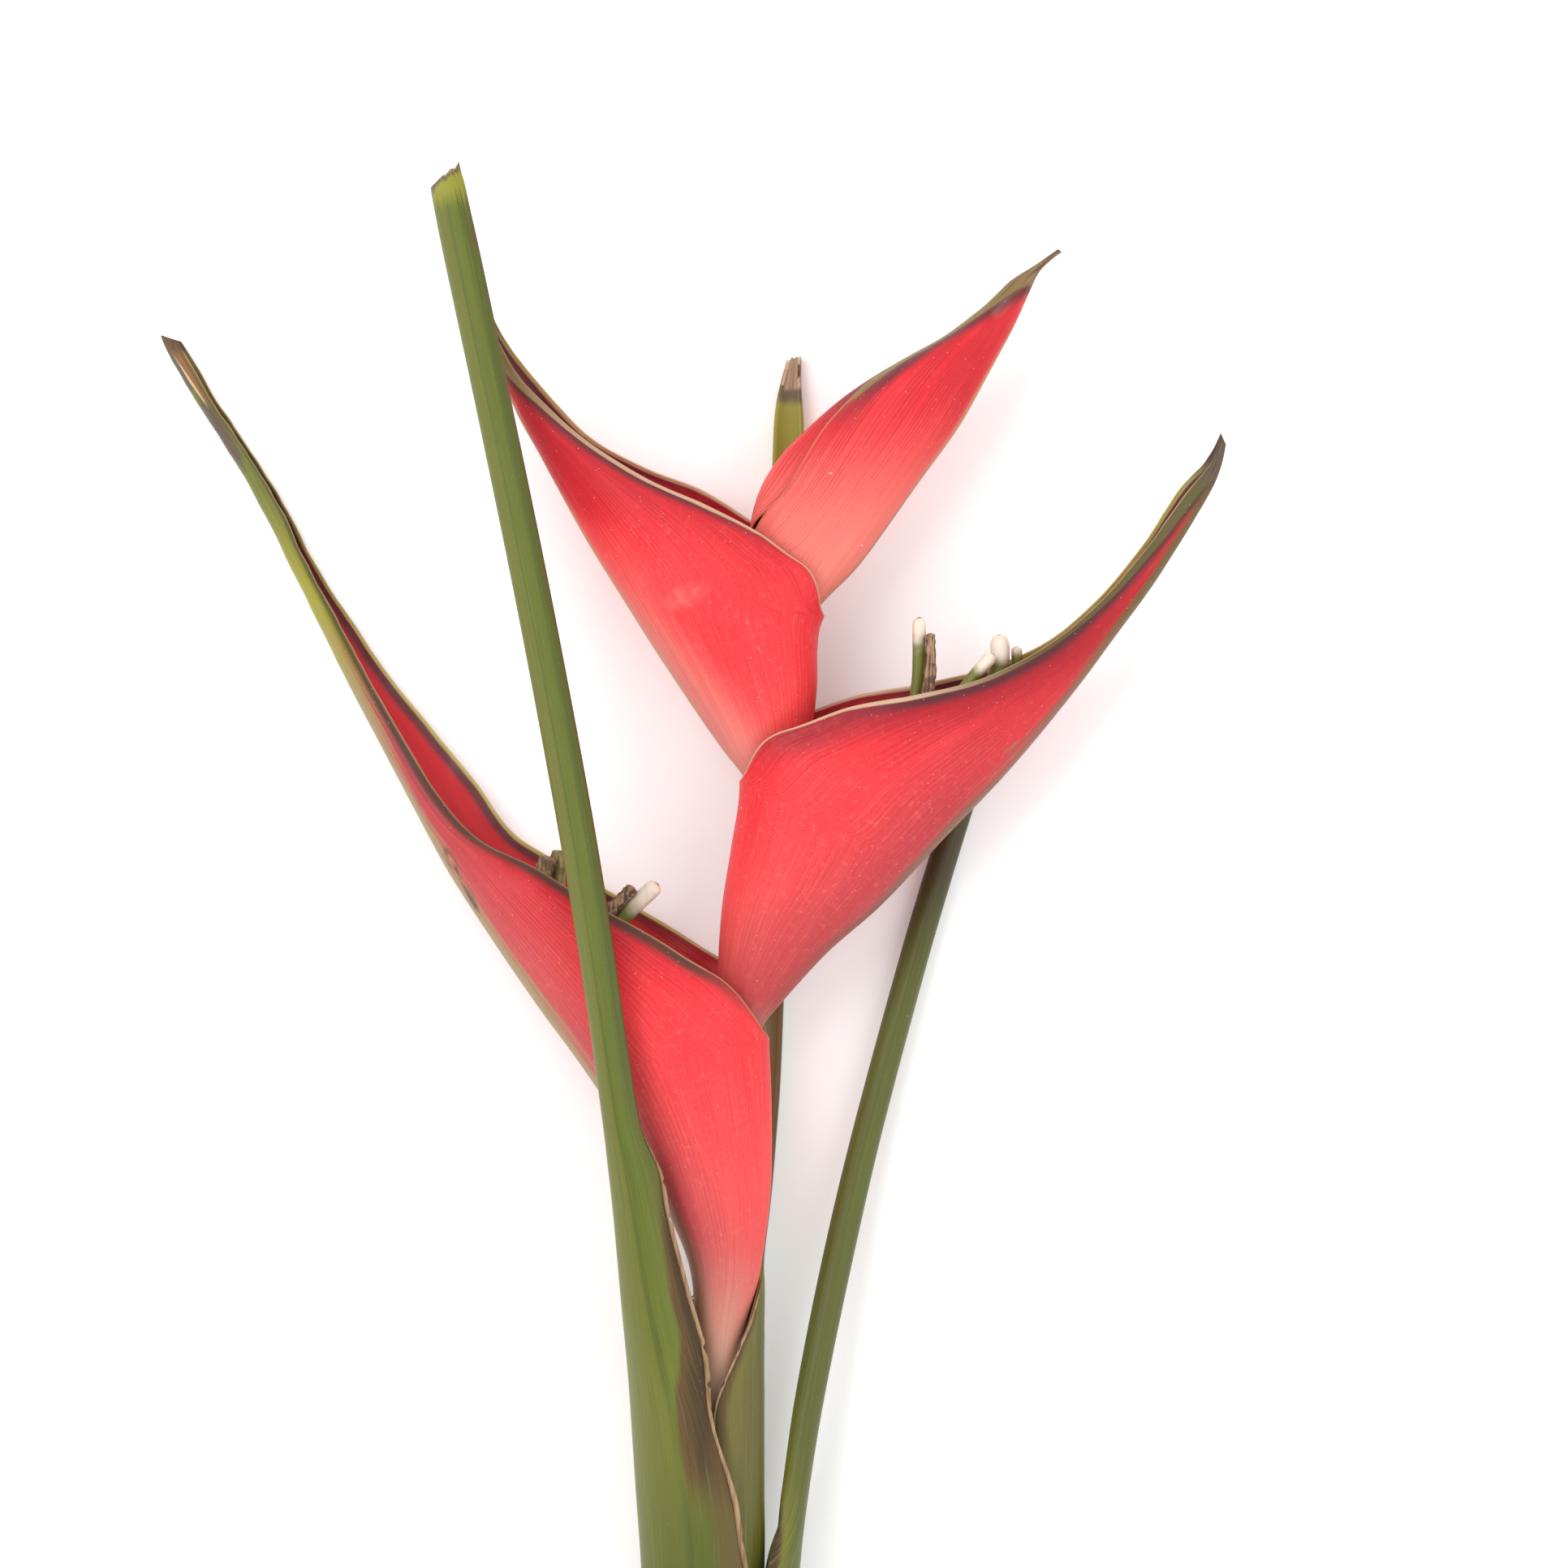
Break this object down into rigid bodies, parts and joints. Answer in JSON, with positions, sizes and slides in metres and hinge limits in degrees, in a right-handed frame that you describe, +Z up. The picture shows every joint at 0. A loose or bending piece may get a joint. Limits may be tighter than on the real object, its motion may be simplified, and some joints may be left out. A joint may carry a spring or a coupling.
{
  "type": "lobster claw heliconia",
  "caption": "Cut stem of lobster claw heliconia lying flat, with red boat-shaped bracts, small florets inside them and cut leaf stalks with their sheaths.",
  "frame": {"origin": "on the surface the stem lies on, below the middle of the overall box", "axes": "+Y runs along the stem from its cut end to the bracts, +X is the picture's right, +Z is up from the surface"},
  "size_m": [0.2911, 0.4904, 0.0557],
  "materials": {
    "flower_stalk": "satin olive stalk",
    "bract": "waxy satin, coral red with green edges",
    "floret": "satin cream and green, some dried brown",
    "leaf_stalk": "satin green with papery brown margins"
  },
  "bodies": {
    "root": {"flower_stalk": "flower_stalk", "bract_1": "bract", "bract_2": "bract", "bract_3": "bract", "bract_4": "bract", "florets_bract_1": "floret", "florets_bract_2": "floret", "leaf_left": "leaf_stalk", "leaf_back": "leaf_stalk", "leaf_right": "leaf_stalk"}
  },
  "joints": []
}
